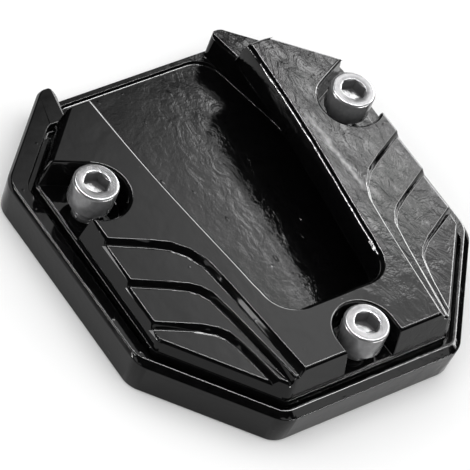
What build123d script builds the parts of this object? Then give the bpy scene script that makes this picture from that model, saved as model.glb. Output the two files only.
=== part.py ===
from build123d import *
import math
import os

# Side-stand foot enlarger: a thick cast base with a foot pocket, a U-shaped
# clamp plate on it and three cap screws.  Millimetres, +Z up, the origin at
# the middle of the rest face.  X is across, +Y towards the open back.

# ---- levels ----------------------------------------------------------------
z_floor = 1.5            # floor of the foot pocket
z_lip = 2.3              # low lip across the back of the base
z_trench = 6.8           # floor of the trench round the clamp plate
z_rim = 9.3              # top of the perimeter wall and of the back tabs
z_seat = 10.4            # top of the islands that carry the clamp plate
z_ledge = 11.1           # screw ledges in the notches of the plate
z_top = 18.0             # top of the clamp plate
riser = 1.56             # height of each terrace step
bevel = 0.45             # bevel on the top edges of the plate

# ---- base ------------------------------------------------------------------
half_width = 44.35
front_y = -47.1
back_y = 47.1
front_slant = 48.15      # distance of the front corner faces from the origin
front_angle = math.radians(-40.6)
back_slant = 51.05       # distance of the back corner faces from the origin
back_angle = math.radians(47.5)
corner_radius = 6.0
side_draft, slant_draft, front_draft = 0.3, 0.5, 0.75
rim_bevel_height = 1.0
rim_bevel_side, rim_bevel_front, rim_bevel_slant = 0.55, 1.75, 1.55

# ---- clamp plate -----------------------------------------------------------
plate_front_y = -42.1
plate_back_y = 35.3
plate_draft = 0.2        # outward lean of the sides per mm of depth
notch_draft = 0.08       # lean of the notches' walls
opening_draft = 0.05     # lean of the opening's walls
# rounded edge along the top of the opening: depth below the top and widening
opening_edge = ((1.06, -0.20), (0.47, 0.22), (0.0, 0.80))

# ---- screws ----------------------------------------------------------------
side_screw = (34.0, 14.3)
front_screw = (0.0, -38.35)
side_head_top = 20.6
front_head_top = 19.8
head_radius, head_height = 5.0, 6.0
shank_radius, shank_length = 2.9, 12.0
socket_flats, socket_depth = 5.0, 3.0
plate_hole_radius = 3.4
base_hole_radius = 3.15
base_hole_floor = 1.5


def line_meet(n1, d1, n2, d2):
    """Point where the lines n1.p = d1 and n2.p = d2 meet."""
    det = n1[0] * n2[1] - n1[1] * n2[0]
    return ((d1 * n2[1] - d2 * n1[1]) / det, (n1[0] * d2 - n2[0] * d1) / det)


def inset(corners, amounts):
    """Move every side of a counter-clockwise outline inwards.

    corners: (x, y, radius); amounts: one per side, side i running from
    corner i to corner i + 1."""
    n = len(corners)
    lines = []
    for i in range(n):
        ax, ay = corners[i][:2]
        bx, by = corners[(i + 1) % n][:2]
        length = math.hypot(bx - ax, by - ay)
        normal = ((by - ay) / length, -(bx - ax) / length)
        lines.append((normal, normal[0] * ax + normal[1] * ay - amounts[i]))
    out = []
    for i in range(n):
        (n1, d1), (n2, d2) = lines[i - 1], lines[i]
        x, y = line_meet(n1, d1, n2, d2)
        shrink = 0.5 * (amounts[i - 1] + amounts[i])
        turn = n1[0] * n2[1] - n1[1] * n2[0]
        radius = corners[i][2]
        if radius > 0:
            radius = max(radius - shrink if turn > 0 else radius + shrink, 0.15)
        out.append((x, y, radius))
    return out


def outline(corners, z):
    """Closed wire at height z through the rounded corners (x, y, radius)."""
    n = len(corners)
    starts, ends, arcs = [], [], []
    for i in range(n):
        px, py = corners[i - 1][:2]
        x, y, r = corners[i]
        qx, qy = corners[(i + 1) % n][:2]
        a = math.hypot(px - x, py - y)
        b = math.hypot(qx - x, qy - y)
        u = ((px - x) / a, (py - y) / a)
        v = ((qx - x) / b, (qy - y) / b)
        if r <= 0:
            starts.append((x, y))
            ends.append((x, y))
            arcs.append(None)
            continue
        half = 0.5 * math.acos(max(-1.0, min(1.0, u[0] * v[0] + u[1] * v[1])))
        t = r / math.tan(half)
        w = (u[0] + v[0], u[1] + v[1])
        m = math.hypot(*w)
        reach = r / math.sin(half) - r
        starts.append((x + u[0] * t, y + u[1] * t))
        ends.append((x + v[0] * t, y + v[1] * t))
        arcs.append((x + w[0] / m * reach, y + w[1] / m * reach))
    edges = []
    for i in range(n):
        if arcs[i]:
            edges.append(Edge.make_three_point_arc(
                (*starts[i], z), (*arcs[i], z), (*ends[i], z)))
        j = (i + 1) % n
        if math.dist(ends[i], starts[j]) > 1e-6:
            edges.append(Edge.make_line((*ends[i], z), (*starts[j], z)))
    return Wire(edges)


def prism(corners, z0, z1):
    """Straight prism on the outline between two heights."""
    return Solid.extrude(Face(outline(corners, z0)), Vector(0, 0, z1 - z0))


def skin(*sections):
    """Ruled solid through outlines with the same corners."""
    return Solid.make_loft([outline(c, z) for c, z in sections], ruled=True)


def mirrored(right):
    """Close a right half, listed from the front to the back, by its mirror."""
    return list(right) + [(-x, y, r) for x, y, r in reversed(right)]


def one(shape):
    """The single solid of a result."""
    found = shape.solids()
    assert len(found) == 1, len(found)
    return found[0]


# ---- base plate ------------------------------------------------------------
nf = (math.cos(front_angle), math.sin(front_angle))
nb = (math.cos(back_angle), math.sin(back_angle))
base_half = [
    (*line_meet(nf, front_slant, (0, 1), front_y), corner_radius),
    (*line_meet(nf, front_slant, (1, 0), half_width), corner_radius),
    (*line_meet(nb, back_slant, (1, 0), half_width), corner_radius),
    (*line_meet(nb, back_slant, (0, 1), back_y), 3.0),
]
base_outline = mirrored(base_half)
# sides in order: front slant, side, back slant, back, back slant, side,
# front slant, front
low = [slant_draft, side_draft, side_draft, side_draft, side_draft,
       side_draft, slant_draft, front_draft]
high = [rim_bevel_slant, rim_bevel_side, rim_bevel_side, 0.5, rim_bevel_side,
        rim_bevel_side, rim_bevel_slant, rim_bevel_front]
body = skin((inset(base_outline, [v + 0.4 for v in low]), 0.0),
            (inset(base_outline, low), 0.4),
            (base_outline, z_rim - rim_bevel_height),
            (inset(base_outline, high), z_rim))

# trench between the perimeter wall and the plate, with the slots at the tabs
trench_half = [
    (*line_meet(nf, 45.9, (0, 1), -44.7), 2.0),
    (*line_meet(nf, 45.9, (1, 0), 41.1), 3.0),
    (*line_meet(nb, 46.57, (1, 0), 41.1), 3.0),
    (*line_meet(nb, 46.57, (0, 1), 37.8), 2.2),
]
body = body - prism(mirrored(trench_half), z_trench, z_rim + 1)

# the clamp plate's outline, also that of the islands under it
plate_half = [
    (20.7, plate_front_y, 1.0),
    (38.85, -20.9, 1.0),
    (38.5, 24.1, 0.9),
    (26.4, plate_back_y, 1.2),
]
plate_outline = mirrored(plate_half)


def plate_at(z, shrink=0.0):
    """The plate's outline at height z, its sides leaning outwards."""
    return inset(plate_outline, [shrink - plate_draft * (z_top - z)] * 8)


body = body + prism(plate_at(z_seat), 1.0, z_seat)
rail = [(20.0, 30.0, 0), (24.0, 30.0, 0), (24.0, 40.5, 0), (20.0, 40.5, 0)]
body = body + prism(rail, 1.0, z_rim)
body = body + prism([(-x, y, r) for x, y, r in reversed(rail)], 1.0, z_rim)

# foot pocket: narrow at the back, wide under the plate, open over a low lip
pocket_front = [
    (14.0, -31.6, 10.0),
    (25.6, -16.0, 14.0),
    (27.3, 6.0, 30.0),
    (25.9, 24.0, 30.0),
]
mouth = (20.6, 48.6)
waist = (22.25, 40.2)
foot_open = mirrored(pocket_front + [(*waist, 20.0), (21.0, 45.7, 1.6),
                                     (23.2, 47.6, 0)])
foot_shut = mirrored(pocket_front + [(*waist, 6.0), (21.4, 45.5, 6.0)])
body = body - prism(foot_open, z_lip, z_seat + 1)
body = body - prism(foot_shut, z_floor + 0.2, z_lip + 0.5)
body = body - skin((inset(foot_shut, [0.34] * len(foot_shut)), z_floor),
                   (foot_shut, z_floor + 0.2))

# bevel along the top of the two rails at the mouth
side = (waist[0] + 0.33, 38.3)
wedge = skin(([(side[0], side[1], 0), (mouth[0], 48.6, 0),
               (-mouth[0], 48.6, 0), (-side[0], side[1], 0)], z_rim - 0.6),
             ([(side[0] + 0.75, side[1], 0), (mouth[0] + 0.75, 48.6, 0),
               (-mouth[0] - 0.75, 48.6, 0), (-side[0] - 0.75, side[1], 0)],
              z_rim + 0.15))
body = body - wedge

for x, y in ((-side_screw[0], side_screw[1]), side_screw, front_screw):
    body = body - Solid.make_cylinder(
        base_hole_radius, 20.0, Plane((x, y, base_hole_floor)))
base_plate = one(body)


# ---- top plate -------------------------------------------------------------
def level(z):
    """The plate's block up to a terrace at height z, bevelled at its top."""
    return skin((plate_at(z_seat), z_seat), (plate_at(z - bevel), z - bevel),
                (plate_at(z, 0.9 * bevel), z))


def within(lower, upper, z):
    """Everything behind a sloping riser whose head lies at height z."""
    def close(line):
        a, b = line[0], line[1]
        k = (a[1] - b[1]) / (a[0] - b[0])
        c, d = line[-1], line[-2]
        m = (c[0] - d[0]) / (c[1] - d[1])
        pts = [(c[0] + m * (-60.0 - c[1]), -60.0)] + list(reversed(line))
        pts += [(60.0, a[1] + k * (60.0 - a[0])), (60.0, 80.0)]
        return mirrored([(x, y, 0) for x, y in pts])
    return skin((close(lower), z - riser - 1.0), (close(lower), z - riser),
                (close(upper), z))


step_1_top = [(39.5, 3.1), (30.1, -1.4), (26.4, -3.5), (23.4, -6.7),
              (21.5, -10.6), (20.5, -17.5), (17.9, -42.4)]
step_1_low = [(39.5, 2.3), (30.2, -2.3), (26.9, -4.2), (24.0, -7.1),
              (22.3, -11.0), (21.4, -17.5), (19.2, -42.4)]
step_2_top = [(39.5, -7.1), (31.2, -11.3), (27.4, -13.4), (25.6, -15.0),
              (24.2, -17.2), (23.0, -23.4), (19.9, -42.4)]
step_2_low = [(39.5, -8.0), (31.2, -12.1), (27.8, -14.1), (26.2, -15.6),
              (24.9, -17.8), (23.8, -23.6), (21.0, -42.4)]
step_3_top = [(39.4, -17.5), (30.3, -22.1), (27.4, -24.2), (25.6, -26.4),
              (24.6, -29.4), (23.8, -33.5), (22.3, -42.4)]
step_3_low = [(39.4, -18.5), (30.3, -22.9), (27.9, -24.7), (26.3, -26.9),
              (25.4, -29.9), (24.6, -33.5), (23.2, -42.4)]

plate = level(z_top - 3 * riser)
plate = plate + (level(z_top - 2 * riser)
                 & within(step_3_low, step_3_top, z_top - 2 * riser))
plate = plate + (level(z_top - riser)
                 & within(step_2_low, step_2_top, z_top - riser))
plate = plate + (level(z_top) & within(step_1_low, step_1_top, z_top))


# U-shaped opening for the stand's foot
def opening(grow, z):
    """Wire of the U-shaped opening, widened by grow."""
    sides = [(15.2, -19.5), (16.3, -10.5), (17.5, -1.5), (18.6, 7.5),
             (19.6, 17.5), (20.3, 27.0), (21.0, 38.0)]
    right = [(x + grow, y) for x, y in sides]
    front = -28.6 - grow
    r = 6.6 + grow
    x0 = right[0][0] - 0.45
    curve = Edge.make_spline([(x, y, z) for x, y in right],
                             tangents=[(0.10, 1, 0), (0.06, 1, 0)])
    other = Edge.make_spline([(-x, y, z) for x, y in reversed(right)],
                             tangents=[(0.06, -1, 0), (0.10, -1, 0)])
    c = (x0 - r, front + r)
    k = math.sqrt(0.5)
    down = Edge.make_line((right[0][0], right[0][1], z), (x0, c[1], z))
    bend = Edge.make_three_point_arc(
        (x0, c[1], z), (c[0] + r * k, c[1] - r * k, z), (c[0], front, z))
    across = Edge.make_line((c[0], front, z), (-c[0], front, z))
    bend2 = Edge.make_three_point_arc(
        (-c[0], front, z), (-c[0] - r * k, c[1] - r * k, z), (-x0, c[1], z))
    up = Edge.make_line((-x0, c[1], z), (-right[0][0], right[0][1], z))
    shut = Edge.make_line((-right[-1][0], right[-1][1], z),
                          (right[-1][0], right[-1][1], z))
    return Wire([curve, down, bend, across, bend2, up, other, shut])


(d_low, g_low), (d_mid, g_mid), (d_top, g_top) = opening_edge
low = g_low - opening_draft * (z_top - d_low - z_seat + 0.5)
u_wall = Solid.make_loft([opening(low, z_seat - 0.5),
                          opening(g_low, z_top - d_low)], ruled=True)
u_mid = Solid.make_loft([opening(g_low, z_top - d_low),
                         opening(g_mid, z_top - d_mid)], ruled=True)
rise = (g_top - g_mid) / d_mid
u_top = Solid.make_loft([opening(g_mid, z_top - d_mid),
                         opening(g_top + 0.3 * rise, z_top + 0.3)],
                        ruled=True)
u_under = Solid.make_loft([opening(0.3, z_seat - 0.2),
                           opening(low, z_seat + 0.5)], ruled=True)
plate = plate - u_wall - u_mid - u_top - u_under


# notches for the screw heads, each with a thin ledge as its floor
def side_notch(grow, z, flip):
    """Wire of a side notch widened by grow; flip mirrors it."""
    cx, cy, r = 33.64, 13.73, 7.2 + grow
    # back side: a straight line leaving the circle and slanting outwards
    a0 = math.radians(114)
    p0 = (cx + r * math.cos(a0), cy + r * math.sin(a0))
    p1 = (p0[0] + 14.0 * math.sin(a0), p0[1] - 14.0 * math.cos(a0))
    # front side: the circle up to the mouth, then straight out
    a2 = math.radians(-52)
    p2 = (cx + r * math.cos(a2), cy + r * math.sin(a2))
    p3 = (p2[0] + 3.0, p2[1] + 0.6 - 0.6 * grow)
    p4 = (50.0, p3[1])
    mid = math.radians((114 + 308) / 2)
    s = -1.0 if flip else 1.0

    def q(p):
        return (s * p[0], p[1], z)
    m = (cx + r * math.cos(mid), cy + r * math.sin(mid))
    return Wire([Edge.make_line(q(p1), q(p0)),
                 Edge.make_three_point_arc(q(p0), q(m), q(p2)),
                 Edge.make_line(q(p2), q(p4)),
                 Edge.make_line(q(p4), q((50.0, p1[1]))),
                 Edge.make_line(q((50.0, p1[1])), q(p1))])


def front_notch(grow, z):
    """Wire of the front notch widened by grow."""
    r, cy = 6.95 + grow, -38.75
    return Wire([Edge.make_line((-r, -60, z), (r, -60, z)),
                 Edge.make_line((r, -60, z), (r, cy, z)),
                 Edge.make_three_point_arc((r, cy, z), (0, cy + r, z),
                                           (-r, cy, z)),
                 Edge.make_line((-r, cy, z), (-r, -60, z))])


for wire in (lambda g, z: side_notch(g, z, False),
             lambda g, z: side_notch(g, z, True), front_notch):
    plate = plate - Solid.make_loft(
        [wire(-notch_draft * (z_top - bevel - z_ledge), z_ledge),
         wire(0.0, z_top - bevel)], ruled=True)
    plate = plate - Solid.make_loft([wire(0.0, z_top - bevel),
                                     wire(bevel + 0.2, z_top + 0.2)],
                                    ruled=True)
for x, y in ((-side_screw[0], side_screw[1]), side_screw, front_screw):
    plate = plate - Solid.make_cylinder(
        plate_hole_radius, 30.0, Plane((x, y, 0)))
top_plate = one(plate)


# ---- cap screws ------------------------------------------------------------
def cap_screw(x, y, head_top):
    """Socket cap screw with its axis at (x, y)."""
    head_bottom = head_top - head_height
    head = Solid.make_cylinder(head_radius, head_height,
                               Plane((x, y, head_bottom)))
    rim = [e for e in head.edges()
           if abs(e.center().Z - head_top) < 1e-6
           and abs(e.length - 2 * math.pi * head_radius) < 0.1]
    head = head.fillet(0.7, rim)
    shank = Solid.make_cylinder(shank_radius, shank_length + 0.5,
                                Plane((x, y, head_bottom - shank_length)))
    tip = [e for e in shank.edges()
           if abs(e.center().Z - (head_bottom - shank_length)) < 1e-6]
    shank = shank.chamfer(0.6, None, tip)
    screw = head + shank
    corner = socket_flats / math.sqrt(3)
    hexagon = [(x + corner * math.cos(math.radians(60 * k + 12)),
                y + corner * math.sin(math.radians(60 * k + 12)), 0)
               for k in range(6)]
    screw = screw - prism(hexagon, head_top - socket_depth, head_top + 1)
    screw = screw - Solid.make_cone(
        corner - 0.35, corner + 0.45, 0.8, Plane((x, y, head_top - 0.45)))
    return one(screw)


nodes = {
    "base_plate": base_plate,
    "top_plate": top_plate,
    "screw_left": cap_screw(-side_screw[0], side_screw[1], side_head_top),
    "screw_right": cap_screw(side_screw[0], side_screw[1], side_head_top),
    "screw_front": cap_screw(front_screw[0], front_screw[1], front_head_top),
}

os.makedirs("parts", exist_ok=True)
for name, solid in nodes.items():
    export_step(solid, f"parts/{name}.step")
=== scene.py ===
import bpy
import math
from mathutils import Matrix, Vector


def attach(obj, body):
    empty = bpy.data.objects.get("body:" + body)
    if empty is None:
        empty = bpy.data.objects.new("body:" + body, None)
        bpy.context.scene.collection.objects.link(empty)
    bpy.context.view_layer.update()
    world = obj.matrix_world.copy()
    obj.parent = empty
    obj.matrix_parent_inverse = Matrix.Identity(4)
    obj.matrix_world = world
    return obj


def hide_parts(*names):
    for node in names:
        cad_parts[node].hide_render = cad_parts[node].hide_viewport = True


# Looks of a side-stand foot enlarger: two glossy black castings and three
# bright cap screws.  Metres, in the frame of the solids.

MM = 0.001
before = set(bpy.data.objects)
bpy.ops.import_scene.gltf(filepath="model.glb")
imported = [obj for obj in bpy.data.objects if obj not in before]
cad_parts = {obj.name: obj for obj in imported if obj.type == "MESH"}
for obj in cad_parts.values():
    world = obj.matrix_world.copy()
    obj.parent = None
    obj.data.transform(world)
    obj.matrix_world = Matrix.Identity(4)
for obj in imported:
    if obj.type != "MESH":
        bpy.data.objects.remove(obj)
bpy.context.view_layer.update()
scene = bpy.context.scene


# ---------------------------------------------------------------- materials
def principled(name):
    mat = bpy.data.materials.new(name)
    mat.use_nodes = True
    nt = mat.node_tree
    bsdf = nt.nodes["Principled BSDF"]
    return mat, nt, bsdf


def add(nt, kind, **values):
    node = nt.nodes.new(kind)
    for key, value in values.items():
        setattr(node, key, value)
    return node


class Sums:
    """Short names for the arithmetic of one node tree."""

    def __init__(self, nt):
        self.nt = nt

    def op(self, kind, *args):
        node = add(self.nt, "ShaderNodeMath", operation=kind)
        for i, arg in enumerate(args):
            if isinstance(arg, (int, float)):
                node.inputs[i].default_value = arg
            else:
                self.nt.links.new(arg, node.inputs[i])
        return node.outputs[0]

    def ramp(self, value, lo, hi, out_lo=0.0, out_hi=1.0):
        node = add(self.nt, "ShaderNodeMapRange", interpolation_type="SMOOTHSTEP")
        self.nt.links.new(value, node.inputs[0])
        for i, v in zip((1, 2, 3, 4), (lo, hi, out_lo, out_hi)):
            node.inputs[i].default_value = v
        return node.outputs[0]

    def place(self, scale=(1, 1, 1), turn=0.0):
        coords = add(self.nt, "ShaderNodeTexCoord")
        mapping = add(self.nt, "ShaderNodeMapping")
        mapping.inputs["Scale"].default_value = scale
        mapping.inputs["Rotation"].default_value = (0, 0, turn)
        self.nt.links.new(coords.outputs["Object"], mapping.inputs["Vector"])
        return mapping.outputs[0]

    def noise(self, where, scale, detail=2.0, rough=0.5, warp=0.0):
        node = add(self.nt, "ShaderNodeTexNoise")
        node.inputs["Scale"].default_value = scale
        node.inputs["Detail"].default_value = detail
        node.inputs["Roughness"].default_value = rough
        node.inputs["Distortion"].default_value = warp
        self.nt.links.new(where, node.inputs["Vector"])
        return node.outputs["Fac"]

    def grains(self, where, scale, size, keep):
        """Round spots scattered at random: 1 in the middle of a spot."""
        node = add(self.nt, "ShaderNodeTexVoronoi")
        node.inputs["Scale"].default_value = scale
        self.nt.links.new(where, node.inputs["Vector"])
        split = add(self.nt, "ShaderNodeSeparateColor")
        self.nt.links.new(node.outputs["Color"], split.inputs[0])
        there = self.op("GREATER_THAN", split.outputs[0], 1.0 - keep)
        reach = self.op("MULTIPLY_ADD", split.outputs[1], size * 0.7, size * 0.3)
        spot = self.op("SUBTRACT", 1.0, self.op(
            "DIVIDE", node.outputs["Distance"], reach))
        spot = self.op("MAXIMUM", spot, 0.0)
        spot = self.op("SMOOTH_MIN", spot, 0.6, 0.3)
        return self.op("MULTIPLY", spot, there)


def black_cast(name, floor_height, crease_and_painted_streak=False):
    """Gloss black coat over a casting: flow marks, grain, specks and pits,
    the roughest of them on the floors below floor_height. The last flag adds
    one raised flow line along the right wing and also makes it pale in the base
    colour, a painted highlight."""
    mat, nt, bsdf = principled(name)
    bsdf.inputs["IOR"].default_value = 1.3
    m = Sums(nt)
    flat = m.place()
    drawn = m.place((1.35, 0.75, 1.0), math.radians(12))
    coords = add(nt, "ShaderNodeTexCoord")
    axes = add(nt, "ShaderNodeSeparateXYZ")
    nt.links.new(coords.outputs["Object"], axes.inputs[0])
    low = m.ramp(axes.outputs[2], (floor_height + 0.6) * MM,
                 (floor_height + 0.1) * MM)

    worn = m.ramp(axes.outputs[0], -0.006, 0.020, 0.10, 1.0)
    flow = m.op("MULTIPLY", m.noise(drawn, 210.0, 4.5, 0.62, 0.9), worn)
    broad = m.noise(flat, 110.0, 2.0, 0.5, 0.4)
    grain = m.noise(flat, 1500.0, 2.0, 0.6)
    specks = m.grains(flat, 520.0, 0.20, 0.10)
    pits = m.grains(flat, 300.0, 0.13, 0.10)
    coarse = m.op("MULTIPLY", m.grains(m.place((1.0, 0.45, 1.0), 0.25), 560.0,
                                       0.30, 0.34),
                  m.ramp(broad, 0.44, 0.60))
    lumps = m.noise(flat, 700.0, 3.0, 0.6, 0.8)

    # heights in millimetres
    height = m.op("MULTIPLY", flow, 0.13)
    height = m.op("MULTIPLY_ADD", broad, 0.06, height)
    height = m.op("MULTIPLY_ADD", grain, 0.0016, height)
    height = m.op("MULTIPLY_ADD", specks, 0.030, height)
    height = m.op("MULTIPLY_ADD", pits, -0.035, height)
    # raised flow line: a bump ridge; its mask is used again below as a painted
    # highlight in the colour
    if crease_and_painted_streak:
        bend = m.op("MULTIPLY_ADD", m.noise(flat, 160.0, 3.0, 0.6), 0.0028,
                    -0.0014)
        off = m.op("ADD", m.op("SUBTRACT", axes.outputs[0], 0.0220), bend)
        off = m.op("DIVIDE", off, 0.00045)
        ridge_and_highlight = m.op("POWER", math.e, m.op("MULTIPLY", m.op(
            "MULTIPLY", off, off), -0.5))
        ridge_and_highlight = m.op("MULTIPLY", ridge_and_highlight, m.ramp(axes.outputs[1], -0.0095, -0.0055))
        ridge_and_highlight = m.op("MULTIPLY", ridge_and_highlight, m.ramp(axes.outputs[1], 0.016, 0.011))
        ridge_and_highlight = m.op("MULTIPLY", ridge_and_highlight, m.ramp(lumps, 0.30, 0.60, 0.5, 1.0))
        height = m.op("MULTIPLY_ADD", ridge_and_highlight, 0.012, height)
    rough = m.op("MULTIPLY", coarse, 0.060)
    rough = m.op("MULTIPLY_ADD", lumps, 0.016, rough)
    height = m.op("MULTIPLY_ADD", rough, low, height)
    bump = add(nt, "ShaderNodeBump")
    bump.inputs["Strength"].default_value = 1.0
    bump.inputs["Distance"].default_value = MM
    nt.links.new(height, bump.inputs["Height"])
    nt.links.new(bump.outputs["Normal"], bsdf.inputs["Normal"])

    sheen = m.op("MULTIPLY_ADD", broad, 0.04, 0.045)
    sheen = m.op("MULTIPLY_ADD", low, 0.03, sheen)
    nt.links.new(sheen, bsdf.inputs["Roughness"])
    tint = add(nt, "ShaderNodeValToRGB")
    tint.color_ramp.elements[0].position = 0.3
    tint.color_ramp.elements[0].color = (0.0010, 0.0010, 0.0011, 1)
    tint.color_ramp.elements[1].position = 0.75
    tint.color_ramp.elements[1].color = (0.0030, 0.0030, 0.0031, 1)
    nt.links.new(lumps, tint.inputs[0])
    colour = tint.outputs[0]
    # painted highlight: the flow line is made pale in the base colour, standing
    # in for a bright streak of reflected light along the right wing
    if crease_and_painted_streak:
        painted_streak_highlight = add(nt, "ShaderNodeVectorMath", operation="ADD")
        nt.links.new(colour, painted_streak_highlight.inputs[0])
        nt.links.new(m.op("MULTIPLY", ridge_and_highlight, 0.24), painted_streak_highlight.inputs[1])
        colour = painted_streak_highlight.outputs[0]
    nt.links.new(colour, bsdf.inputs["Base Color"])
    return mat


def bright_steel(name, metallic, dark, light, gloss):
    """Bright zinc on a cold-formed screw, faintly turned and scuffed."""
    mat, nt, bsdf = principled(name)
    bsdf.inputs["Metallic"].default_value = metallic
    m = Sums(nt)
    flat = m.place()
    scuff = m.noise(flat, 600.0, 4.0, 0.6, 0.5)
    tint = add(nt, "ShaderNodeValToRGB")
    tint.color_ramp.elements[0].position = 0.25
    tint.color_ramp.elements[0].color = (dark, dark, dark * 1.02, 1)
    tint.color_ramp.elements[1].position = 0.7
    tint.color_ramp.elements[1].color = (light, light, light * 1.015, 1)
    nt.links.new(scuff, tint.inputs[0])
    nt.links.new(tint.outputs[0], bsdf.inputs["Base Color"])
    nt.links.new(m.op("MULTIPLY_ADD", scuff, 0.12, gloss),
                 bsdf.inputs["Roughness"])
    bump = add(nt, "ShaderNodeBump")
    bump.inputs["Strength"].default_value = 1.0
    bump.inputs["Distance"].default_value = MM
    nt.links.new(m.op("MULTIPLY", m.noise(flat, 500.0, 2.0), 0.02),
                 bump.inputs["Height"])
    nt.links.new(bump.outputs["Normal"], bsdf.inputs["Normal"])
    return mat


base_black = black_cast("base_black", 6.8)
plate_black = black_cast("plate_black", -5.0, crease_and_painted_streak=True)
steel = bright_steel("screw_steel", 0.40, 0.105, 0.175, 0.14)
# painted shade: a darker, rougher copy of the same steel for the inside of the
# hex socket, so the recess reads dark
steel_socket_painted_shade = bright_steel("screw_socket_painted_shade", 0.35, 0.080, 0.140, 0.32)


# ------------------------------------------------------------------ castings
def dress(node, material, width, angle):
    """Round the edges of a solid's mesh and paint it."""
    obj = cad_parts[node]
    obj.data.materials.clear()
    obj.data.materials.append(material)
    weld = obj.modifiers.new("weld", "WELD")
    weld.merge_threshold = 0.000002
    join = obj.modifiers.new("join", "DECIMATE")
    join.decimate_type = "DISSOLVE"
    join.angle_limit = math.radians(0.4)
    cut = obj.modifiers.new("cut", "TRIANGULATE")
    cut.ngon_method = "BEAUTY"
    cut.quad_method = "BEAUTY"
    bev = obj.modifiers.new("round", "BEVEL")
    bev.width = width
    bev.segments = 3
    bev.limit_method = "ANGLE"
    bev.angle_limit = math.radians(angle)
    bev.harden_normals = True
    bev.use_clamp_overlap = False
    bev.miter_outer = "MITER_SHARP"
    return obj


base = dress("base_plate", base_black, 0.00021, 22)
plate = dress("top_plate", plate_black, 0.00024, 37)


# -------------------------------------------------------------------- screws
def hexagon(theta, flats):
    """Distance from the middle to a hexagon's side in direction theta."""
    a = (theta + math.pi / 6) % (math.pi / 3) - math.pi / 6
    return flats / 2 / math.cos(a)


def cap_screw(name, node, x, y, top, turn):
    """Socket cap screw with a cut thread, as rings of vertices."""
    n = 120
    rings = []

    def ring(z, radius):
        rings.append([(radius(2 * math.pi * i / n), z) for i in range(n)])

    def circle(r):
        return lambda t: r

    def six(flats):
        return lambda t: hexagon(t - turn, flats)

    for z, flats in ((-3.9, 0.05), (-3.05, 4.3), (-3.0, 4.8), (-2.9, 4.94),
                     (-2.0, 5.0), (-0.62, 5.0)):
        ring(z, six(flats))

    # the cone turned into the mouth of the socket takes the hexagon's corners
    def cone(z, grow):
        return lambda t: max(hexagon(t - turn, 5.0), grow)
    ring(-0.30, cone(-0.30, 2.50))
    ring(-0.20, cone(-0.20, 2.60))
    ring(-0.10, cone(-0.10, 2.72))
    ring(-0.03, cone(-0.03, 2.84))
    ring(0.0, circle(2.96))
    ring(0.0, circle(4.10))
    for k in range(9):
        a = math.pi / 2 * k / 8
        ring(-0.62 + 0.62 * math.cos(a), circle(4.38 + 0.62 * math.sin(a)))
    ring(-2.5, circle(5.0))
    ring(-5.75, circle(5.0))
    for k in range(1, 5):
        a = math.pi / 2 * k / 4
        ring(-5.75 - 0.25 * math.sin(a), circle(4.75 + 0.25 * math.cos(a)))
    ring(-6.0, circle(3.4))
    ring(-6.05, circle(3.05))

    # thread: a rounded ridge that winds down the shank
    step = 0.1
    count = int(round(11.6 / step))
    for j in range(count):
        z = -6.15 - step * j

        def wind(t, z=z, j=j):
            phase = (z - t / (2 * math.pi)) % 1.0
            ridge = abs(2 * phase - 1)
            ridge = min(1.0, max(0.0, (ridge - 0.12) / 0.72))
            depth = 0.58 * min(1.0, max(0.0, (j - 2) / 8))
            tip = 1.0 - 0.22 * max(0.0, (j - (count - 9)) / 9)
            return (3.0 - depth * (1 - ridge)) * tip
        ring(z, wind)
    ring(-17.85, circle(2.2))
    ring(-18.0, circle(2.0))
    ring(-18.0, circle(0.05))

    verts = []
    for r in rings:
        for i, (radius, z) in enumerate(r):
            t = 2 * math.pi * i / n
            verts.append(((x + radius * math.cos(t)) * MM,
                          (y + radius * math.sin(t)) * MM, (top + z) * MM))
    faces = []
    for j in range(len(rings) - 1):
        for i in range(n):
            a, b = j * n + i, j * n + (i + 1) % n
            c, d = b + n, a + n
            faces.append((a, d, c, b))
    faces.append(tuple(range(n)))
    faces.append(tuple((len(rings) - 1) * n + i for i in reversed(range(n))))
    mesh = bpy.data.meshes.new(name)
    mesh.from_pydata(verts, [], faces)
    mesh.update()
    obj = bpy.data.objects.new(name, mesh)
    scene.collection.objects.link(obj)
    mesh.materials.append(steel)
    mesh.materials.append(steel_socket_painted_shade)
    # the socket's faces take the darker copy of the steel: painted shade in the
    # recess
    inside = n * 6
    for p in mesh.polygons:
        p.use_smooth = True
        if max(p.vertices) < inside + n:
            p.material_index = 1
    mesh.set_sharp_from_angle(angle=math.radians(32))
    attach(obj, "root")
    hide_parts(node)
    return obj


cap_screw("cap_screw_left", "screw_left", -34.0, 14.3, 20.6, math.radians(12))
cap_screw("cap_screw_right", "screw_right", 34.0, 14.3, 20.6, math.radians(12))
cap_screw("cap_screw_front", "screw_front", 0.0, -38.35, 19.8,
          math.radians(12))

# --------------------------------------------------------------------- stage
mesh = bpy.data.meshes.new("floor")
s = 6.0
mesh.from_pydata([(-s, -s, 0), (s, -s, 0), (s, s, 0), (-s, s, 0)], [],
                 [(0, 1, 2, 3)])
floor = bpy.data.objects.new("floor", mesh)
scene.collection.objects.link(floor)
mat, nt, bsdf = principled("floor_white")
bsdf.inputs["Base Color"].default_value = (0.86, 0.86, 0.86, 1)
bsdf.inputs["Roughness"].default_value = 1.0
bsdf.inputs["Specular IOR Level"].default_value = 0.0
mesh.materials.append(mat)

# an even white dome lights the floor; the gloss sees only the panels below
world = bpy.data.worlds.new("studio")
scene.world = world
world.use_nodes = True
bg = world.node_tree.nodes["Background"]
bg.inputs["Color"].default_value = (1, 1, 1, 1)
bg.inputs["Strength"].default_value = 1.3
world.cycles_visibility.glossy = False


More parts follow.
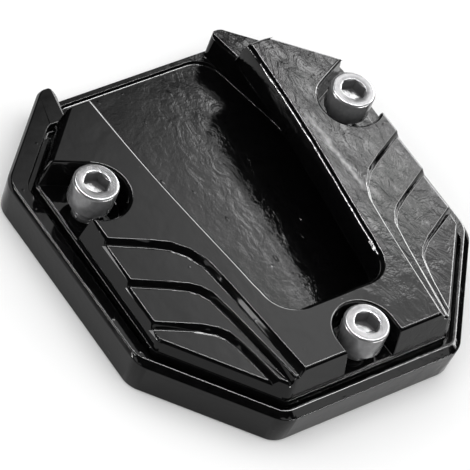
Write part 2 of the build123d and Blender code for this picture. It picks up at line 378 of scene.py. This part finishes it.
def panel(name, place, size, shade, target=(0, 0, 0.018)):
    """Glowing panel that faces the target; shade gives its glow from the
    place across it (u, v in metres)."""
    place, target = Vector(place), Vector(target)
    back = (place - target).normalized()
    across = Vector((1, 0, 0)) - back * back.x
    if across.length < 0.3:
        across = Vector((0, 1, 0)) - back * back.y
    across.normalize()
    along = back.cross(across)
    w, h = size[0] / 2, size[1] / 2
    mesh = bpy.data.meshes.new(name)
    mesh.from_pydata([(-w, -h, 0), (w, -h, 0), (w, h, 0), (-w, h, 0)], [],
                     [(0, 3, 2, 1)])
    obj = bpy.data.objects.new(name, mesh)
    scene.collection.objects.link(obj)
    obj.matrix_world = Matrix((
        (across.x, along.x, back.x, place.x),
        (across.y, along.y, back.y, place.y),
        (across.z, along.z, back.z, place.z), (0, 0, 0, 1)))
    mat = bpy.data.materials.new(name)
    mat.use_nodes = True
    nt = mat.node_tree
    nt.nodes.clear()
    out = add(nt, "ShaderNodeOutputMaterial")
    glow = add(nt, "ShaderNodeEmission")
    nt.links.new(glow.outputs[0], out.inputs["Surface"])
    m = Sums(nt)
    coords = add(nt, "ShaderNodeTexCoord")
    axes = add(nt, "ShaderNodeSeparateXYZ")
    nt.links.new(coords.outputs["Object"], axes.inputs[0])
    value = shade(m, axes.outputs[0], axes.outputs[1])
    if isinstance(value, (int, float)):
        glow.inputs["Strength"].default_value = value
    else:
        nt.links.new(value, glow.inputs["Strength"])
    mesh.materials.append(mat)
    obj.visible_camera = False
    obj.visible_diffuse = False
    obj.visible_shadow = False
    return obj


def bell(m, x, middle, width):
    """1 where x is at the middle, falling off like a bell."""
    t = m.op("DIVIDE", m.op("SUBTRACT", x, middle), width)
    return m.op("POWER", math.e, m.op("MULTIPLY", m.op("MULTIPLY", t, t),
                                      -0.5))


def soft_step(m, x, middle, width):
    """0 below the middle, 1 above it."""
    t = m.op("DIVIDE", m.op("SUBTRACT", x, middle), -width)
    return m.op("DIVIDE", 1.0, m.op("ADD", 1.0, m.op("POWER", math.e, t)))


def key_shade(m, u, v):
    """Dim at the left, bright at the right, with a brighter band across and
    a narrow bright rim beyond its left and front edges."""
    slope = m.op("MULTIPLY_ADD", u, 6.5, m.op("MULTIPLY", m.op(
        "MINIMUM", u, 0.0), 3.8))
    base = m.op("MULTIPLY", m.op("POWER", math.e, slope), 2.3)
    base = m.op("MULTIPLY", base, soft_step(m, v, 0.060, -0.018))
    fore = m.op("MULTIPLY", soft_step(m, u, 0.02, 0.006),
                soft_step(m, v, -0.0275, -0.0045))
    base = m.op("MULTIPLY", base, m.op("MULTIPLY_ADD", fore, -0.42, 1.0))
    across = m.op("MULTIPLY_ADD", v, 0.2, u)
    band = m.op("MULTIPLY_ADD", bell(m, across, 0.0405, 0.0026), 9.0,
                m.op("MULTIPLY", bell(m, across, 0.046, 0.014), 5.6))
    band = m.op("MULTIPLY", band, soft_step(m, v, -0.0275, 0.0045))
    band = m.op("MULTIPLY", band, soft_step(m, v, 0.062, -0.003))
    far = m.op("MULTIPLY", soft_step(m, u, 0.25, 0.02), 12.0)
    far = m.op("MULTIPLY", far, soft_step(m, v, -0.05, 0.02))
    glow = m.op("ADD", m.op("MINIMUM", m.op("ADD", base, band), 16.0), far)
    radius = m.op("SQRT", m.op("ADD", m.op("MULTIPLY", u, u),
                               m.op("MULTIPLY", v, v)))
    rim = bell(m, radius, 0.27, 0.022)
    corner = m.op("ADD", u, v)
    rim = m.op("MULTIPLY", rim, soft_step(m, corner, -0.17, -0.02))
    return m.op("MULTIPLY_ADD", glow, 1.55, m.op("MULTIPLY", rim, 130.0))


MIDDLE = Vector((0, 0, 0.018))
R0 = Vector((0.53, 0.404, 0.745)).normalized()
panel("key", MIDDLE + R0 * 0.6, (1.2, 1.0), key_shade)
panel("strip_left", (-0.945, 0.461, 0.190), (0.52, 0.08), lambda m, u, v: 130.0)
panel("strip_front", (0.45, -1.0, 0.050), (0.9, 0.08), lambda m, u, v: 80.0)
panel("left_low", MIDDLE + Vector((-0.877, 0.404, 0.255)) * 0.7, (0.36, 0.13),
      lambda m, u, v: 11.0)
# dim fills that show the object's form from other sides
panel("fill_top", MIDDLE + Vector((0, 0.087, 0.996)) * 0.5, (0.18, 0.18),
      lambda m, u, v: 2.2)
panel("fill_back", MIDDLE + Vector((0, -0.766, 0.643)) * 0.7, (0.30, 0.22),
      lambda m, u, v: 2.0)
panel("fill_left", MIDDLE + Vector((-0.906, 0, 0.423)) * 0.8, (0.20, 0.20),
      lambda m, u, v: 2.0)
panel("fill_front", MIDDLE + Vector((0.53, -0.45, 0.72)) * 0.6, (0.2, 0.16),
      lambda m, u, v: 2.4)

# -------------------------------------------------------------------- camera
cam = bpy.data.cameras.new("camera")
cam.sensor_fit = "HORIZONTAL"
cam.sensor_width = 36.0
cam.lens = 312.03
cam.clip_start = 0.05
cam.clip_end = 30.0
cam_obj = bpy.data.objects.new("camera", cam)
scene.collection.objects.link(cam_obj)
rows = ((0.7928782, -0.5478297, 0.2668836),
        (0.300382, 0.7324121, 0.6110182),
        (-0.5302026, -0.404296, 0.7452717))
m = Matrix.Identity(4)
for axis in range(3):
    for k in range(3):
        m[k][axis] = rows[axis][k]
m.translation = Vector((-0.459119, -0.348152, 0.646156))
cam_obj.matrix_world = m
scene.camera = cam_obj
scene.view_settings.view_transform = "Standard"
